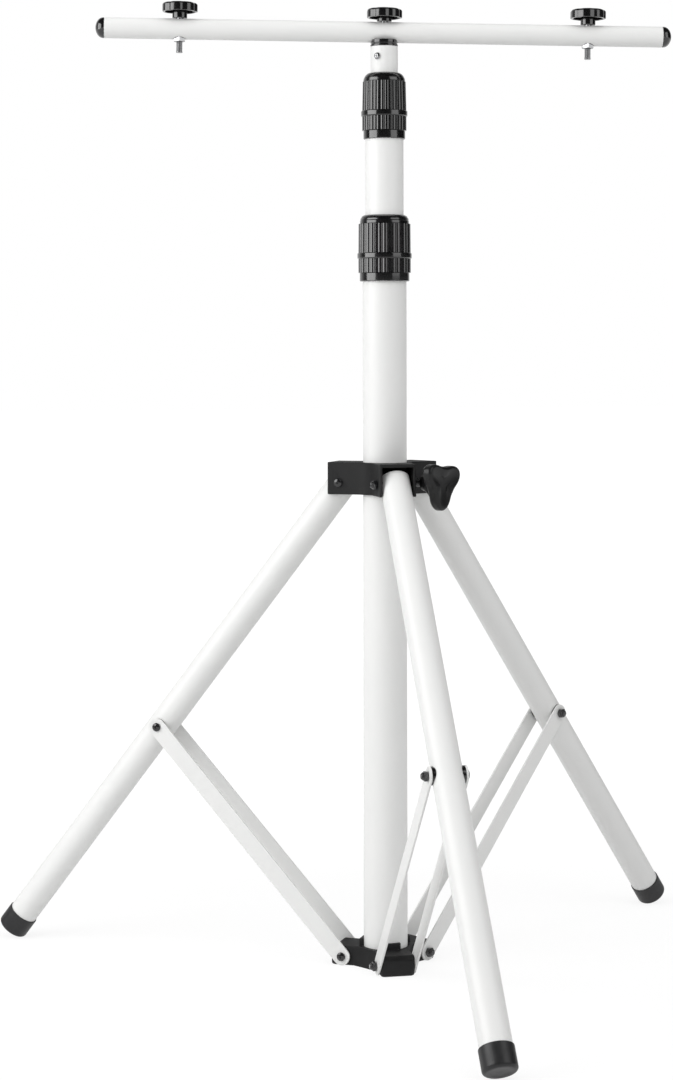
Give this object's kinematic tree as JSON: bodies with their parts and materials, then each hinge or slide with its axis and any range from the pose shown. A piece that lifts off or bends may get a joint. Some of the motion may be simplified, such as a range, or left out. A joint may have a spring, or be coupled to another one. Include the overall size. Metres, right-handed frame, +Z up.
{
  "type": "light tripod",
  "caption": "Folding tripod stand with a telescopic mast, twist locks and a crossbar that carries two lamps.",
  "frame": {"origin": "centre of the footprint, on the floor under the stand", "axes": "+Z up, front leg towards -Y, +X to the right as the picture sees it"},
  "size_m": [0.6702, 0.5844, 0.8804],
  "materials": {
    "white_paint": "smooth semi-gloss white powder coat on steel",
    "black_plastic": "satin moulded black plastic",
    "boot_rubber": "dull black rubber",
    "black_steel": "black-finished steel fasteners",
    "zinc_steel": "bright zinc-plated steel"
  },
  "bodies": {
    "base": {"outer_tube": "white_paint", "bottom_hub": "black_plastic", "lower_collet": "black_plastic"},
    "strut_front": {"strut_front_a": "white_paint", "strut_front_b": "white_paint", "strut_bolt_front": "black_steel", "strut_nut_front": "black_steel", "foot_bolt_front": "black_steel"},
    "strut_right": {"strut_right_a": "white_paint", "strut_right_b": "white_paint", "strut_bolt_right": "black_steel", "strut_nut_right": "black_steel", "foot_bolt_right": "black_steel"},
    "strut_left": {"strut_left_a": "white_paint", "strut_left_b": "white_paint", "strut_bolt_left": "black_steel", "strut_nut_left": "black_steel", "foot_bolt_left": "black_steel"},
    "leg_front": {"leg_front": "white_paint", "boot_front": "boot_rubber", "washer_front_a": "black_plastic", "washer_front_b": "black_plastic"},
    "leg_right": {"leg_right": "white_paint", "boot_right": "boot_rubber", "washer_right_a": "black_plastic", "washer_right_b": "black_plastic"},
    "leg_left": {"leg_left": "white_paint", "boot_left": "boot_rubber", "washer_left_a": "black_plastic", "washer_left_b": "black_plastic"},
    "collar": {"leg_hub": "black_plastic", "hub_bolt_front": "black_steel", "hub_bolt_right": "black_steel", "hub_bolt_left": "black_steel"},
    "clamp": {"clamp_knob": "black_plastic", "clamp_screw": "zinc_steel"},
    "lower_ring": {"lower_lock_ring": "black_plastic"},
    "mid_sleeve": {"mid_guide": "black_plastic"},
    "mid": {"mid_tube": "white_paint", "upper_collet": "black_plastic"},
    "upper_ring": {"upper_lock_ring": "black_plastic"},
    "top_sleeve": {"top_guide": "black_plastic"},
    "head": {"top_tube": "white_paint", "saddle": "black_plastic", "saddle_screw": "zinc_steel", "crossbar": "white_paint", "end_cap_left": "black_plastic", "end_cap_right": "black_plastic", "lamp_nut_left": "zinc_steel", "lamp_nut_right": "zinc_steel"},
    "knob_left": {"knob_left": "black_plastic", "stud_left": "zinc_steel"},
    "knob_middle": {"knob_middle": "black_plastic", "stud_middle": "zinc_steel"},
    "knob_right": {"knob_right": "black_plastic", "stud_right": "zinc_steel"}
  },
  "joints": [
    {"name": "leg_fold", "type": "hinge", "parent": "base", "child": "strut_front", "pos_m": [0, 0.05487, 0.00824], "axis": [-1, 0, 0], "range_deg": [0, 41.5]},
    {"name": "strut_right_fold", "type": "hinge", "parent": "base", "child": "strut_right", "pos_m": [0.0323, 0.11082, 0.00824], "axis": [0.5, -0.866, 0], "range_deg": [0, 41.6]},
    {"name": "strut_left_fold", "type": "hinge", "parent": "base", "child": "strut_left", "pos_m": [-0.0323, 0.11082, 0.00824], "axis": [0.5, 0.866, 0], "range_deg": [0, 41.6]},
    {"name": "leg_front_pivot", "type": "hinge", "parent": "strut_front", "child": "leg_front", "pos_m": [0, -0.12608, 0.20957], "axis": [-1, 0, 0], "range_deg": [-79.2, 0]},
    {"name": "leg_right_pivot", "type": "hinge", "parent": "strut_right", "child": "leg_right", "pos_m": [0.18901, 0.20129, 0.20957], "axis": [0.5, -0.866, 0], "range_deg": [-79.2, 0]},
    {"name": "leg_left_pivot", "type": "hinge", "parent": "strut_left", "child": "leg_left", "pos_m": [-0.18901, 0.20129, 0.20957], "axis": [0.5, 0.866, 0], "range_deg": [-79.2, 0]},
    {"name": "collar_pivot", "type": "hinge", "parent": "leg_front", "child": "collar", "pos_m": [0, 0.05257, 0.44105], "axis": [-1, 0, 0], "range_deg": [0, 37.7]},
    {"name": "clamp_turn", "type": "hinge", "parent": "collar", "child": "clamp", "pos_m": [0.03497, 0.04403, 0.44235], "axis": [0.5878, -0.809, 0], "continuous": true},
    {"name": "lower_lock_turn", "type": "hinge", "parent": "base", "child": "lower_ring", "pos_m": [0, 0.09217, 0.64675], "axis": [0, 0, 1], "range_deg": [0, 90]},
    {"name": "mid_slide", "type": "slide", "parent": "base", "child": "mid_sleeve", "axis": [0, 0, 1], "range_m": [-0.068, 0.39]},
    {"name": "mid_swivel", "type": "hinge", "parent": "mid_sleeve", "child": "mid", "pos_m": [0, 0.09217, 0.77675], "axis": [0, 0, 1], "continuous": true},
    {"name": "upper_lock_turn", "type": "hinge", "parent": "mid", "child": "upper_ring", "pos_m": [0, 0.09217, 0.77675], "axis": [0, 0, 1], "range_deg": [0, 90]},
    {"name": "top_slide", "type": "slide", "parent": "mid", "child": "top_sleeve", "axis": [0, 0, 1], "range_m": [-0.009, 0.434]},
    {"name": "head_swivel", "type": "hinge", "parent": "top_sleeve", "child": "head", "pos_m": [0, 0.09217, 0.83965], "axis": [0, 0, 1], "continuous": true},
    {"name": "knob_left_turn", "type": "hinge", "parent": "head", "child": "knob_left", "pos_m": [-0.18346, 0.12749, 0.86539], "axis": [0.0149, -0.0029, 0.9999], "continuous": true},
    {"name": "knob_middle_turn", "type": "hinge", "parent": "head", "child": "knob_middle", "pos_m": [0.00015, 0.09214, 0.86255], "axis": [0.0149, -0.0029, 0.9999], "continuous": true},
    {"name": "knob_right_turn", "type": "hinge", "parent": "head", "child": "knob_right", "pos_m": [0.18375, 0.05678, 0.85971], "axis": [0.0149, -0.0029, 0.9999], "continuous": true}
  ],
  "couplings": [
    {"joint": "strut_right_fold", "follows": "leg_fold", "ratio": 1},
    {"joint": "strut_left_fold", "follows": "leg_fold", "ratio": 1},
    {"joint": "leg_front_pivot", "follows": "leg_fold", "ratio": -1.904},
    {"joint": "leg_right_pivot", "follows": "leg_fold", "ratio": -1.904},
    {"joint": "leg_left_pivot", "follows": "leg_fold", "ratio": -1.904},
    {"joint": "collar_pivot", "follows": "leg_fold", "ratio": 0.904}
  ]
}
